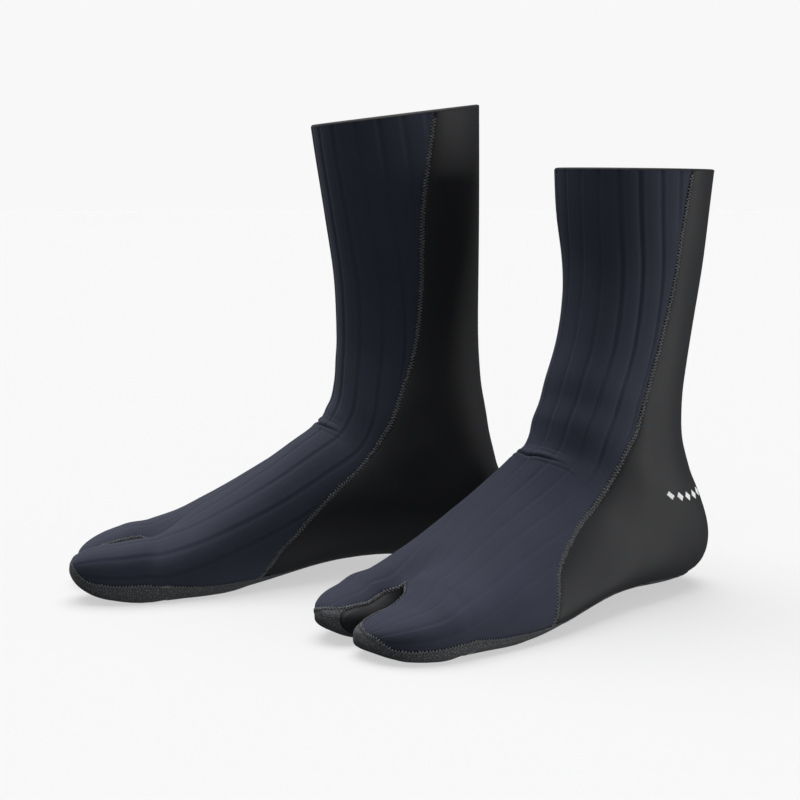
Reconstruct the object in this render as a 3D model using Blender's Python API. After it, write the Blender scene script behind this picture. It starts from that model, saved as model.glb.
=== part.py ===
"""A pair of split-toe neoprene boots, standing on their soles. Blender 4.5, metres, +Z up.

Each boot is a hollow sock sewn from panels of neoprene: a front panel over shin, instep and toes,
a back panel round calf and heel, a grippy sole that turns up round the forefoot, and gussets in the
split between the big toe and the other toes. Flat stitched seams join them. Each panel is one piece
of cloth, cut into nodes only where the boot flexes: at the ankle and at the root of the toes.

A boot is modelled in its own millimetres: x forward from the heel, y towards the other foot, z up.
"""

import bmesh
import bpy
import numpy as np
from math import pi, radians

MM = 0.001

# ---------------------------------------------------------------- driving dimensions, millimetres
SKIN = 3.0              # thickness of the neoprene
GAP = 0.4               # free space between two panels that are sewn together
SEAM_WIDTH = 4.0
SEAM_THICKNESS = 0.7
SEAM_LIFT = 0.4         # space under a seam tape
SOLE_FLAT = 1.0         # everything lower than this is pressed flat on the ground

# Sections of the sock, from the root of the toes back to the heel and up to the lower shin:
#   front x, front z, back x, back z, ridge y, keel y, inner y, outer y, widest share, front n, back n
# The front point lies on shin or instep and the back point on sole, heel or calf.
SECTIONS = [
    (216, 38.5, 216, 0, 10, 9, 51, -47, .42, 2.4, 5.5),
    (196, 46, 196, 0, 12, 6, 51, -48, .38, 2.3, 5.5),
    (176, 57, 173, 0, 13, 1, 48, -48, .36, 2.2, 5.0),
    (152, 71, 141, 3.5, 12, -6, 42, -46, .33, 2.1, 4.2),
    (132, 83.5, 106, 8.5, 9, -10, 37.5, -42, .34, 2.1, 3.8),
    (118, 92.5, 68, 9, 6, -9, 36.5, -38.5, .40, 2.1, 3.2),
    (110, 98.5, 27, 5.5, 4, -4, 36.5, -38, .48, 2.1, 2.9),
    (105.5, 105.5, -12, 9, 3, 0, 37, -39, .56, 2.1, 2.7),
    (102, 114, -21.5, 33, 2, 0, 37, -39, .60, 2.1, 2.7),
    (98.5, 126, -10, 64, 1, 0, 36, -37, .57, 2.0, 2.4),
    (95.5, 140, -3, 95, 0, 0, 34, -35, .53, 2.0, 2.2),
    (93.5, 160, 1, 132, 0, 0, 33, -34, .50, 2.0, 2.1),
    (94, 195, 0, 178, 0, 0, 36, -37, .50, 2.0, 2.0),
]
CUFF_HALF_WIDTH = 45
TOE_ROOT = SECTIONS[0][0]

# Places along the sock are counted in sections, from 0 at the root of the toes to 14 at the cuff.
CUFF = 14
SIDE_SEAM_START = 2.8   # where the side seam leaves the sole seam
ROWS_FOOT = [0, .5, 1, 1.5, 2, 2.4, 2.8, 3, 3.3, 3.7, 4.1, 4.5, 5, 5.5, 6]
ROWS_ROUND_HEEL = [.4, .22, .1, .03, 0]     # before the place where the sole seam closes round the heel
ROWS_ABOVE_HEEL = [7.0, 7.25, 7.5]
ROWS_ANKLE_BAND = [7.5, 8, 8.5, 9, 9.6]     # the part that folds when the ankle bends
ROWS_SHAFT = [9.6, 10.1, 10.7, 11.3, 12, 12.7, 13.3, 14]

# Height of the sole seam above the ground, as (place, height)
SOLE_SEAM_HEIGHT = [(0, 10), (2, 8), (3, 8), (4, 12), (5.5, 12), (6.4, 9), (7, 7.5)]

# How far round the side seam runs from the front line, as a share of the half girth, at 3, 4 ... 14
SIDE_SEAM_SHARE = np.array([.51, .41, .355, .295, .26, .278, .338, .398, .453, .483, .495, .535])

FRONT_COLUMNS = 6
SIDE_COLUMNS = 5
SOLE_COLUMNS = 4

# Toe pockets: tip x, slit y, far side y, tip y and z, top height at root and tip, toe spring, sideways
# lean of the top, and x where the slit wall, the top and the bottom start to round off
BIG_TOE = dict(tip=270, slit=10.8, far=51, tip_y=29, tip_z=20, top=38.5, top_tip=32, spring=5, lean=0,
               slit_round=244, top_round=248, bottom_round=244)
SMALL_TOES = dict(tip=263, slit=9, far=-47, tip_y=-7, tip_z=14, top=38.5, top_tip=28, spring=3, lean=.08,
                  slit_round=236, top_round=238, bottom_round=247)
TOE_BAND = 12           # length of the part that folds when the toes bend
TOE_SQUARENESS = (2.6, 5.0)     # over the top, under the sole
TOE_ROWS = [0, .18, .36, .52, .67, .8, .9, .97, 1]
SLIT_SHARE = .13        # gusset, on either side of the middle of the slit wall
BUMPER_SHARE = .55      # where the top panel ends on the far side
WEB = dict(x=(211.2, 215), y=(6.2, 13.4), z=(3.8, 30))

# Joint centres in boot millimetres
ANKLE = (55, 0, 75)
TOE_JOINT = (222, 0, 17)

# Where each boot stands (heel point in world millimetres, turn of the toes from -X) and how its cloth
# was pulled: front and back point of the cuff, how far the ball of the foot reaches forward, how far
# the front bulges at places 6, 8, 10 and 12 and the back at 10 and 12, and how much longer each toe is.
BOOTS = {
    "right": dict(stand=(59.4, 101.9), turn=17.4, inner_side=1, cuff_front=(112, 281.5), cuff_back=(5, 295),
                  reach=0, front_shift=(-1, -2, 1.8, 4.8), back_shift=(.5, 4), toe_reach=(1, 0)),
    "left": dict(stand=(175.5, 48.7), turn=39.7, inner_side=-1, cuff_front=(88.5, 255.5), cuff_back=(-10, 254),
                 reach=-9, front_shift=(3, 5, 2.5, -9), back_shift=(11, -2.5), toe_reach=(-8, 0)),
}

JERSEY = ((.030, .032, .045), .75)
SMOOTH = ((.012, .012, .014), .6)
GRIP = ((.022, .022, .025), .85)
THREAD = ((.10, .10, .11), .7)


# ---------------------------------------------------------------- the surface of the sock

def bends(rows):
    """Second differences of a natural cubic spline through the rows."""
    count = len(rows)
    matrix = np.eye(count)
    right = np.zeros_like(rows)
    for i in range(1, count - 1):
        matrix[i, i - 1:i + 2] = 1, 4, 1
        right[i] = 6 * (rows[i - 1] - 2 * rows[i] + rows[i + 1])
    return np.linalg.solve(matrix, right)


def on_spline(rows, second, place):
    """Value of a natural cubic spline at a place counted in rows."""
    i = min(max(int(place), 0), len(rows) - 2)
    b = place - i
    a = 1 - b
    return a * rows[i] + b * rows[i + 1] + ((a ** 3 - a) * second[i] + (b ** 3 - b) * second[i + 1]) / 6


def arc_points(line, shares):
    """Points of a polyline at shares of its length."""
    steps = np.linalg.norm(np.diff(line, axis=0), axis=1)
    length = np.concatenate([[0], np.cumsum(steps)])
    return np.stack([np.interp(shares, length / length[-1], line[:, k]) for k in range(3)], axis=-1)


class Sock:
    """The skin of one boot behind the toe pockets."""

    def __init__(self, cuff_front, cuff_back, reach, front_shift, back_shift):
        rows = [list(map(float, row)) for row in SECTIONS]
        for place, row in enumerate(rows):
            shift = reach * np.interp(place, [2, 5], [1, 0])
            row[0] += shift + np.interp(place, [4, 6, 8, 10, 12], [0, *front_shift])
            row[2] += shift + np.interp(place, [5, 10, 12], [0, *back_shift])
        cuff = [*cuff_front, *cuff_back, 0, 0, CUFF_HALF_WIDTH, -CUFF_HALF_WIDTH, .5, 2, 2]
        calf = [.54 * a + .46 * b for a, b in zip(rows[-1], cuff)]
        calf[6] = .4 * rows[-1][6] + .6 * CUFF_HALF_WIDTH
        calf[7] = -calf[6]
        self.rows = np.array(rows + [calf, cuff])
        self.bends = bends(self.rows)

    def row(self, place):
        return on_spline(self.rows, self.bends, place)

    def half(self, place, side, count=96):
        """One half of a section as a dense line from its front point to its back point."""
        fx, fz, kx, kz, ridge, keel, inner, outer, widest, n_front, n_back = self.row(place)
        angle = np.linspace(0, pi, count)
        cosine = np.cos(angle)
        power = np.where(cosine >= 0, 2 / n_front, 2 / n_back)
        along = np.abs(cosine) ** power
        across = np.abs(np.sin(angle)) ** power
        share = np.where(cosine >= 0, widest + (1 - widest) * along, widest - widest * along)
        middle = keel + (ridge - keel) * share
        reach = inner - (keel + (ridge - keel) * widest) if side > 0 else (keel + (ridge - keel) * widest) - outer
        return np.stack([kx + (fx - kx) * share, middle + side * reach * across, kz + (fz - kz) * share], axis=-1)

    def points(self, place, side, shares):
        return arc_points(self.half(place, side), shares)

    def seam_share(self, place, side):
        """Share of the half girth at which the sole seam runs, or 1 behind the heel."""
        line = self.half(place, side)
        height = np.interp(place, *zip(*SOLE_SEAM_HEIGHT))
        steps = np.linalg.norm(np.diff(line, axis=0), axis=1)
        shares = np.concatenate([[0], np.cumsum(steps)]) / steps.sum()
        if line[-1, 2] >= height:
            return 1.0
        return float(np.interp(-height, -line[:, 2], shares))

    def side_share(self, place, side):
        """Share of the half girth at which the front panel ends."""
        sole = self.seam_share(place, side)
        if place < SIDE_SEAM_START:
            return sole
        if place < 3:
            return float(np.interp(place, [SIDE_SEAM_START, 3], [sole - .02, SIDE_SEAM_SHARE[0]]))
        return float(on_spline(SIDE_SEAM_SHARE, bends(SIDE_SEAM_SHARE), place - 3))

    def heel_place(self):
        """Where the sole seam closes round the back of the heel."""
        low, high = 6.0, 7.0
        for _ in range(30):
            middle = (low + high) / 2
            closed = self.seam_share(middle, 1) >= 1
            low, high = (low, middle) if closed else (middle, high)
        return high

    def grid(self, places, side, ranges, columns):
        """Points and outward normals on one side, for each place between two shares of the half girth."""
        step = .02
        points, normals = [], []
        for place, (start, stop) in zip(places, ranges):
            shares = np.linspace(start, stop, columns + 1)
            here = self.points(place, side, shares)
            ahead = self.points(min(place + step, CUFF), side, shares)
            behind = self.points(max(place - step, 0), side, shares)
            down = self.points(place, side, np.minimum(shares + step, 1))
            up = self.points(place, side, np.maximum(shares - step, 0))
            mirror = self.points(place, -side, np.array([step, 1 - step]))
            up[shares < step] = mirror[0]
            down[shares > 1 - step] = mirror[1]
            normal = np.cross(down - up, ahead - behind) * side
            points.append(here)
            normals.append(normal / np.linalg.norm(normal, axis=-1, keepdims=True))
        return np.array(points), np.array(normals)


def rounding(x, start, stop, power):
    return (1 - np.clip((x - start) / (stop - start), 0, 1) ** power) ** (1 / power)


def toe_ring(toe, x, shares):
    """Points round a toe pocket at x, from the middle of the slit wall over the top to the far side."""
    tip = toe["tip"]
    along = np.clip((x - TOE_ROOT) / (tip - TOE_ROOT), 0, 1)
    slit = toe["tip_y"] + (toe["slit"] - toe["tip_y"]) * rounding(x, toe["slit_round"], tip, 2.3)
    far = toe["tip_y"] + (toe["far"] - toe["tip_y"]) * rounding(x, TOE_ROOT - 4, tip, 2.2)
    line = toe["top_tip"] + (toe["top"] - toe["top_tip"]) * (1 - along) ** 1.6
    top = toe["tip_z"] + (line - toe["tip_z"]) * rounding(x, toe["top_round"], tip, 2.2)
    spring = toe["spring"] * along ** 2
    bottom = toe["tip_z"] + (spring - toe["tip_z"]) * rounding(x, toe["bottom_round"], tip, 2.2)
    angle = np.linspace(pi, -pi, 160)
    power = np.where(np.sin(angle) > 0, 2 / TOE_SQUARENESS[0], 2 / TOE_SQUARENESS[1])
    across = np.sign(np.cos(angle)) * np.abs(np.cos(angle)) ** power
    upward = np.sign(np.sin(angle)) * np.abs(np.sin(angle)) ** power
    y = (slit + far) / 2 + (far - slit) / 2 * across
    z = (top + bottom) / 2 + (top - bottom) / 2 * upward
    z = z + toe["lean"] * (far - slit) / 2 * across * np.clip(upward, 0, 1)
    ring = np.stack([np.full_like(y, x), y, z], axis=-1)
    if top - bottom < 1e-6:
        return np.repeat(ring[:1], len(shares), axis=0)
    return arc_points(ring, shares)


def toe_grid(toe, xs, start, stop, columns):
    """Points and outward normals of a toe pocket between two shares of its girth."""
    shares = np.linspace(start, stop, columns + 1)
    step = .01
    turn = 1 if toe["far"] > toe["slit"] else -1
    points, normals = [], []
    for x in xs:
        seen = min(x, toe["tip"] - .6)
        ahead = toe_ring(toe, seen + .4, shares % 1)
        behind = toe_ring(toe, seen - .4, shares % 1)
        after = toe_ring(toe, seen, (shares + step) % 1)
        before = toe_ring(toe, seen, (shares - step) % 1)
        normal = np.cross(ahead - behind, after - before) * turn
        normal = normal / np.linalg.norm(normal, axis=-1, keepdims=True)
        if x >= toe["tip"] - 1e-6:
            normal = np.tile([1.0, 0, 0], (len(shares), 1))
        points.append(toe_ring(toe, x, shares % 1))
        normals.append(normal)
    return np.array(points), np.array(normals)


def press_flat(point):
    """The sock's own weight presses the lowest part of the sole flat on the ground."""
    x, y, z = point
    if z < SOLE_FLAT:
        z = 0.0
    elif z < 2 * SOLE_FLAT:
        z = 2 * (z - SOLE_FLAT)
    return (x, y, z)


# ---------------------------------------------------------------- turning surfaces into solids

def weld(grids):
    """One open mesh from several grids that share edges: places, normals and faces."""
    index, places, normals, faces = {}, [], [], []

    def vertex(point, normal):
        key = tuple(np.round(point, 2))
        if key not in index:
            index[key] = len(places)
            places.append(np.array(press_flat(point)))
            normals.append(normal)
        return index[key]

    for points, outward in grids:
        rows, columns = points.shape[:2]
        ids = [[vertex(points[i, j], outward[i, j]) for j in range(columns)] for i in range(rows)]
        for i in range(rows - 1):
            for j in range(columns - 1):
                loop = [ids[i][j], ids[i][j + 1], ids[i + 1][j + 1], ids[i + 1][j]]
                loop = [v for k, v in enumerate(loop) if v != loop[k - 1]]
                if len(set(loop)) > 2:
                    faces.append(loop)
    return places, normals, faces


def pull_in(places, faces, distance):
    """Moves the open edges inwards along the surface, to leave room for the neighbouring panel."""
    edges = {}
    for face in faces:
        for k, v in enumerate(face):
            edges.setdefault(frozenset((face[k - 1], v)), []).append(face)
    inward = {}
    rim = [(tuple(edge), users[0]) for edge, users in edges.items() if len(users) == 1]
    for (a, b), face in rim:
        line = places[b] - places[a]
        line = line / np.linalg.norm(line)
        to_middle = sum(places[v] for v in face) / len(face) - places[a]
        across = to_middle - line * to_middle.dot(line)
        across = across / np.linalg.norm(across)
        for v in (a, b):
            inward.setdefault(v, []).append(across)
    moved = [place.copy() for place in places]
    for v, directions in inward.items():
        total = sum(directions)
        spread = total.dot(total) / len(directions)
        moved[v] = moved[v] + total * distance / max(spread, .5)
    return moved, [edge for edge, _ in rim]


def shell(grids, thickness=SKIN, gap=GAP):
    """A closed sheet of neoprene: outer face, inner face and the cut edges between them."""
    sewn, normals, faces = weld(grids)
    places, rim = pull_in(sewn, faces, gap / 2)
    mesh = bmesh.new()
    outer = [mesh.verts.new((x, y, max(z, 0))) for x, y, z in places]
    inner = [mesh.verts.new(place - normal * thickness) for place, normal in zip(places, normals)]
    for face in faces:
        mesh.faces.new([outer[v] for v in face])
        mesh.faces.new([inner[v] for v in reversed(face)])
    for a, b in rim:
        # both panels of a seam split this twisted edge along the same diagonal, so that they can't meet
        if tuple(sewn[a].round(3)) > tuple(sewn[b].round(3)):
            a, b = b, a
        mesh.faces.new([outer[a], outer[b], inner[b]])
        mesh.faces.new([outer[a], inner[b], inner[a]])
    return mesh


def tape(points, normals, width=SEAM_WIDTH):
    """A flat seam tape along a line on the skin."""
    tangents = np.gradient(points, axis=0)
    across = np.cross(normals, tangents)
    across = across / np.linalg.norm(across, axis=-1, keepdims=True) * width / 2
    low = points + normals * SEAM_LIFT
    high = low + normals * SEAM_THICKNESS
    corners = np.stack([low - across, low + across, high + across * .7, high - across * .7], axis=1)
    mesh = bmesh.new()
    rings = [[mesh.verts.new(corner) for corner in ring] for ring in corners]
    for one, two in zip(rings, rings[1:]):
        for k in range(4):
            mesh.faces.new([one[k - 1], one[k], two[k], two[k - 1]])
    mesh.faces.new(rings[0])
    mesh.faces.new(rings[-1])
    return mesh


def block(x, y, z):
    mesh = bmesh.new()
    bmesh.ops.create_cube(mesh, size=1)
    for vertex in mesh.verts:
        for axis, (low, high) in enumerate((x, y, z)):
            vertex.co[axis] = (low + high) / 2 + vertex.co[axis] * (high - low)
    return mesh


# ---------------------------------------------------------------- objects

def material(name, finish):
    colour, roughness = finish
    new = bpy.data.materials.new(name)
    new.use_nodes = True
    shader = new.node_tree.nodes["Principled BSDF"]
    shader.inputs["Base Color"].default_value = (*colour, 1)
    shader.inputs["Roughness"].default_value = roughness
    shader.inputs["Metallic"].default_value = 0
    return new


def empty(name, parent, location, turn=0):
    new = bpy.data.objects.new(name, None)
    bpy.context.collection.objects.link(new)
    new.parent = parent
    new.location = [value * MM for value in location]
    new.rotation_euler = (0, 0, radians(turn))
    return new


class Boot:
    """Builds the nodes of one boot under the empties of its four bodies."""

    def __init__(self, name, stand, turn, inner_side, cuff_front, cuff_back, reach, front_shift, back_shift,
                 toe_reach):
        self.name = name
        self.inner_side = inner_side
        self.reach = reach
        self.sock = Sock(cuff_front, cuff_back, reach, front_shift, back_shift)
        self.toes = {}
        for key, shape, longer in zip(("big_toe", "small_toes"), (BIG_TOE, SMALL_TOES), toe_reach):
            longest = {edge: shape[edge] + longer for edge in ("tip", "slit_round", "top_round", "bottom_round")}
            self.toes[key] = {**shape, **longest}
        heel = self.sock.heel_place()
        self.round_heel = [heel - step for step in ROWS_ROUND_HEEL]
        frame = empty(f"{name}_foot_frame", None, (*stand, 0), 180 + turn)
        toe_centre = {key: (TOE_JOINT[0] + reach, inner_side * toe["tip_y"], TOE_JOINT[2])
                      for key, toe in self.toes.items()}
        self.bodies = {
            "foot": (frame, (0, 0, 0)),
            "shaft": (empty(f"{name}_ankle_axis", frame, ANKLE), ANKLE),
        }
        for key, centre in toe_centre.items():
            self.bodies[key] = (empty(f"{name}_{key}_axis", frame, centre), centre)

    def add(self, node, body, mesh, finish):
        """Turns a mesh in boot millimetres into an object of one body."""
        parent, centre = self.bodies[body]
        for vertex in mesh.verts:
            vertex.co.y *= self.inner_side
            for axis in range(3):
                vertex.co[axis] = (vertex.co[axis] - centre[axis]) * MM
        mesh.normal_update()
        bmesh.ops.recalc_face_normals(mesh, faces=mesh.faces)
        data = bpy.data.meshes.new(f"{self.name}_{node}")
        mesh.to_mesh(data)
        mesh.free()
        data.materials.append(material(data.name, finish))
        new = bpy.data.objects.new(data.name, data)
        bpy.context.collection.objects.link(new)
        new.parent = parent

    def strips(self, places, edges, columns):
        """Grids on both sides for the shares that edges(place, side) gives."""
        return [self.sock.grid(places, side, [edges(place, side) for place in places], columns)
                for side in (1, -1)]

    def front(self, place, side):
        return 0, self.sock.side_share(place, side)

    def flank(self, place, side):
        return self.sock.side_share(place, side), self.sock.seam_share(place, side)

    def underfoot(self, place, side):
        return self.sock.seam_share(place, side), 1

    def seam_line(self, places, share, side):
        """Points and normals along a seam that lies at share(place, side)."""
        ranges = [(share(place, side), share(place, side)) for place in places]
        points, normals = self.sock.grid(places, side, ranges, 1)
        return points[:, 0], normals[:, 0]

    def build(self):
        self.build_panels()
        self.build_seams()
        for body, toe in self.toes.items():
            self.build_toe(body, toe)
        web = block(**WEB)
        bmesh.ops.translate(web, verts=web.verts, vec=(self.reach, 0, 0))
        self.add("toe_web", "foot", web, JERSEY)

    def build_panels(self):
        foot = ROWS_FOOT + self.round_heel + ROWS_ABOVE_HEEL
        flank_foot = [place for place in foot if place >= SIDE_SEAM_START]
        sole = ROWS_FOOT + self.round_heel
        parts = [
            ("instep_panel", "foot", foot, self.front, FRONT_COLUMNS, JERSEY),
            ("heel_panel", "foot", flank_foot, self.flank, SIDE_COLUMNS, SMOOTH),
            ("sole_panel", "foot", sole, self.underfoot, SOLE_COLUMNS, GRIP),
            ("ankle_front", "foot", ROWS_ANKLE_BAND, self.front, FRONT_COLUMNS, JERSEY),
            ("ankle_back", "foot", ROWS_ANKLE_BAND, self.flank, SIDE_COLUMNS, SMOOTH),
            ("shin_panel", "shaft", ROWS_SHAFT, self.front, FRONT_COLUMNS, JERSEY),
            ("calf_panel", "shaft", ROWS_SHAFT, self.flank, SIDE_COLUMNS, SMOOTH),
        ]
        for node, body, places, edges, columns, finish in parts:
            self.add(node, body, shell(self.strips(places, edges, columns)), finish)

    def build_seams(self):
        foot = [place for place in ROWS_FOOT + ROWS_ABOVE_HEEL if place >= 3]
        side_share = self.sock.side_share
        for label, side in (("inner", 1), ("outer", -1)):
            for part, body, places in (("foot", "foot", foot), ("ankle", "foot", ROWS_ANKLE_BAND),
                                       ("shaft", "shaft", ROWS_SHAFT)):
                ends = [places[0] + .02, *places[1:-1], places[-1] - .02]
                self.add(f"{label}_seam_{part}", body, tape(*self.seam_line(ends, side_share, side)), THREAD)
        places = [.05] + ROWS_FOOT[1:] + self.round_heel
        inner = self.seam_line(places, self.sock.seam_share, 1)
        outer = self.seam_line(places, self.sock.seam_share, -1)
        line = [np.concatenate([one, two[-2::-1]]) for one, two in zip(inner, outer)]
        self.add("sole_seam", "foot", tape(*line), THREAD)

    def pocket(self, toe, xs, start, stop, columns):
        points, normals = toe_grid(toe, xs, start, stop, columns)
        return points + (self.reach, 0, 0), normals

    def build_toe(self, body, toe):
        band = [TOE_ROOT + .8, TOE_ROOT + TOE_BAND / 2, TOE_ROOT + TOE_BAND]
        rows = [TOE_ROOT + TOE_BAND + (toe["tip"] - TOE_ROOT - TOE_BAND) * row for row in TOE_ROWS]
        self.add(f"{body}_band", "foot", shell([self.pocket(toe, band, 0, 1, 18)]), JERSEY)
        panels = [("top", SLIT_SHARE, BUMPER_SHARE, 8, JERSEY),
                  ("sole", BUMPER_SHARE, 1 - SLIT_SHARE, 6, GRIP),
                  ("gusset", 1 - SLIT_SHARE, 1 + SLIT_SHARE, 4, SMOOTH)]
        for label, start, stop, columns, finish in panels:
            self.add(f"{body}_{label}", body, shell([self.pocket(toe, rows, start, stop, columns)]), finish)
        far = self.pocket(toe, rows, BUMPER_SHARE, BUMPER_SHARE, 1)
        slit = self.pocket(toe, rows, SLIT_SHARE, SLIT_SHARE, 1)
        line = [np.concatenate([one[:, 0], two[-2::-1, 0]]) for one, two in zip(far, slit)]
        self.add(f"{body}_seam", body, tape(*line), THREAD)


for old in list(bpy.data.objects):
    bpy.data.objects.remove(old)

for boot_name, placing in BOOTS.items():
    Boot(boot_name, **placing).build()
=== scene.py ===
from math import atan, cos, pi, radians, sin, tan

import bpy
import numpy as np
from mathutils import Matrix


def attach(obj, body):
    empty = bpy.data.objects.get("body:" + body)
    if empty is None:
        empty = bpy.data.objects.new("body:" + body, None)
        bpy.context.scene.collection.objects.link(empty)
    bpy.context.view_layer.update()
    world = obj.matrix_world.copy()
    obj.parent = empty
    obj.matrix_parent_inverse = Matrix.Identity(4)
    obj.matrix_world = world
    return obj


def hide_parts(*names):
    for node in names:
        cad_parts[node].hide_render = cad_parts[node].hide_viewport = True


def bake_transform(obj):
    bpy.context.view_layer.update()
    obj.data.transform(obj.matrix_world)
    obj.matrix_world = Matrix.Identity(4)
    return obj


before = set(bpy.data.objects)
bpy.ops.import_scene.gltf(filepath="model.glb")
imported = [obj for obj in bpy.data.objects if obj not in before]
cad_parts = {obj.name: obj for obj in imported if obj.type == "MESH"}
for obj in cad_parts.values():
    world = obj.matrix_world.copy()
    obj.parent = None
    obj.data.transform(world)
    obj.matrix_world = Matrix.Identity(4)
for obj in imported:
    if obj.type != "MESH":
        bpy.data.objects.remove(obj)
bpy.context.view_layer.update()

# The looks of a pair of split-toe neoprene boots: the same skin as the CAD model, at full detail, with
# ribs, creases, seams, stitches, lining and cuff edges. A boot is shaped in its own millimetres
# (x forward from the heel, y towards the other foot, z up) and then put in the row frame.

MM = 0.001

# ---------------------------------------------------------------- the shape, as in the CAD model

# front x, front z, back x, back z, ridge y, keel y, inner y, outer y, widest share, front n, back n
SECTIONS = [
    (216, 38.5, 216, 0, 10, 9, 51, -47, .42, 2.4, 5.5),
    (196, 46, 196, 0, 12, 6, 51, -48, .38, 2.3, 5.5),
    (176, 57, 173, 0, 13, 1, 48, -48, .36, 2.2, 5.0),
    (152, 71, 141, 3.5, 12, -6, 42, -46, .33, 2.1, 4.2),
    (132, 83.5, 106, 8.5, 9, -10, 37.5, -42, .34, 2.1, 3.8),
    (118, 92.5, 68, 9, 6, -9, 36.5, -38.5, .40, 2.1, 3.2),
    (110, 98.5, 27, 5.5, 4, -4, 36.5, -38, .48, 2.1, 2.9),
    (105.5, 105.5, -12, 9, 3, 0, 37, -39, .56, 2.1, 2.7),
    (102, 114, -21.5, 33, 2, 0, 37, -39, .60, 2.1, 2.7),
    (98.5, 126, -10, 64, 1, 0, 36, -37, .57, 2.0, 2.4),
    (95.5, 140, -3, 95, 0, 0, 34, -35, .53, 2.0, 2.2),
    (93.5, 160, 1, 132, 0, 0, 33, -34, .50, 2.0, 2.1),
    (94, 195, 0, 178, 0, 0, 36, -37, .50, 2.0, 2.0),
]
CUFF_HALF_WIDTH = 45
SKIN = 3.0
CUFF = 14.0
TOE_ROOT = 216
SOLE_SEAM_HEIGHT = [(0, 10), (1, 7.5), (2, 7), (3, 8), (4, 12), (5.5, 12), (6.4, 9), (7, 7.5)]
SIDE_SEAM_START = 2.5
SIDE_SEAM_PLACES = [3, 4, 5, 6, 7, 8, 9, 10, 11, 12, 13, 14]
SIDE_SEAM_SHARE = {
    1: [.525, .41, .34, .285, .25, .27, .325, .385, .455, .49, .51, .575],
    -1: [.485, .415, .37, .305, .268, .285, .35, .41, .45, .475, .48, .50],
}
BIG_TOE = dict(tip=270, slit=10.6, far=51, tip_y=29, tip_z=20, top=38.5, top_tip=32, spring=5, lean=0,
               slit_round=244, top_round=248, bottom_round=244, bumper=.8, tongue=8)
SMALL_TOES = dict(tip=263, slit=9.2, far=-47, tip_y=-7, tip_z=14, top=38.5, top_tip=28, spring=3, lean=.08,
                  slit_round=236, top_round=238, bottom_round=247, bumper=1, tongue=6)
TOE_SQUARENESS = (2.6, 5.0)                  # over the top and under the sole
VALLEY = dict(y=10, depth=8, width=11, length=26)   # the cloth dips towards the start of the slit
SLIT_SHARE = .13
BUMPER_SHARE = .53

BOOTS = {
    "right": dict(stand=(59.4, 101.9), turn=17.4, inner_side=1, cuff_front=(112, 281.5), cuff_back=(5, 295),
                  reach=0, front_shift=(-1, -2, 1.8, 4.8), back_shift=(.5, 4), toe_reach=(1, 0),
                  droop=(0, 0), crease=5.6),
    "left": dict(stand=(175.5, 48.7), turn=39.7, inner_side=-1, cuff_front=(88.5, 255.5), cuff_back=(-10, 254),
                 reach=-9, front_shift=(3, 5, 2.5, -9), back_shift=(11, -2.5), toe_reach=(-8, 0),
                 droop=(.24, .24), crease=4.95),
}

# ---------------------------------------------------------------- details of the cloth, millimetres

# distance of each rib from the front line, positive over the inner side
RIBS = [-89, -76, -64, -51.5, -38.5, -27, -15, -3, 9.5, 23, 38.5, 53, 68, 83]
RIB_WIDTH = 1.1
RIB_DEPTH = .6
RIB_WELT = .28
CREASE = dict(climb=[(0, 0), (26, .65)], reach=27, depth=1.3, width=.9)
HEEL_MARK = dict(count=5, place=7.62, climb=.22, share=.505, step=.056, half_width=.016, half_height=.08,
                 slant=.004)
ROW_STEP = 2.6
COLUMN_STEP = 1.1


def smooth(x, start, stop):
    x = np.clip((np.asarray(x, float) - start) / (stop - start), 0, 1)
    return x * x * (3 - 2 * x)


def bump(x, width):
    return np.exp(-(x / width) ** 2)


def bends(rows):
    """Second differences of a natural cubic spline through the rows."""
    count = len(rows)
    matrix = np.eye(count)
    right = np.zeros_like(rows)
    for i in range(1, count - 1):
        matrix[i, i - 1:i + 2] = 1, 4, 1
        right[i] = 6 * (rows[i - 1] - 2 * rows[i] + rows[i + 1])
    return np.linalg.solve(matrix, right)


def on_spline(rows, second, places):
    i = np.clip(np.floor(places).astype(int), 0, len(rows) - 2)
    b = places - i
    if rows.ndim > 1:
        b = b[:, None]
    a = 1 - b
    return a * rows[i] + b * rows[i + 1] + ((a ** 3 - a) * second[i] + (b ** 3 - b) * second[i + 1]) / 6


def lengths(lines):
    """Distance run along each line of an array of lines."""
    steps = np.linalg.norm(np.diff(lines, axis=-2), axis=-1)
    return np.concatenate([np.zeros(steps.shape[:-1] + (1,)), np.cumsum(steps, axis=-1)], axis=-1)


def resample(line, run, shares):
    return np.stack([np.interp(shares, run / run[-1], line[:, k]) for k in range(3)], axis=-1)


def press(points):
    """The lowest part of the sole lies flat on the ground."""
    z = points[..., 2]
    points[..., 2] = np.where(z < 1, 0, np.where(z < 2, 2 * (z - 1), z))
    return points


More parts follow.
